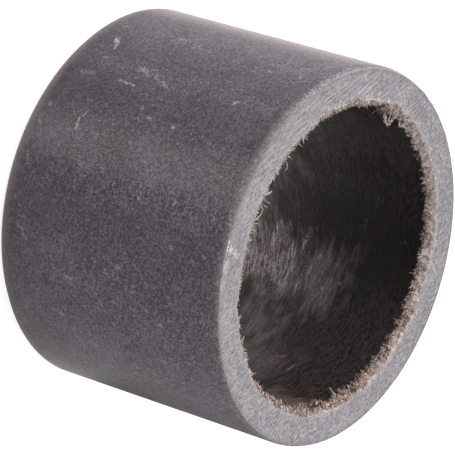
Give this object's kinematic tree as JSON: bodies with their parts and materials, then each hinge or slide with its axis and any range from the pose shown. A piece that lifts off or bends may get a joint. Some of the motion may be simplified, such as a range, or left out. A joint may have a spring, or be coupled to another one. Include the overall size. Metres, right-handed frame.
{
  "type": "plain bushing",
  "caption": "Thick-walled plain cylindrical bushing of dark fabric-reinforced plastic, faced square at both ends, with torn bore edges.",
  "frame": {"origin": "centre of the back end face, the one with the lead-in on its outer edge, where the bushing stands on its end", "axes": "+Z along the bore axis, from the back end face to the front end face with the wider torn bore edge; +Y towards the side where that tear is widest"},
  "size_m": [0.05, 0.05, 0.036],
  "materials": {
    "laminate": "matte machined"
  },
  "bodies": {
    "root": {"bushing": "laminate"}
  },
  "joints": []
}
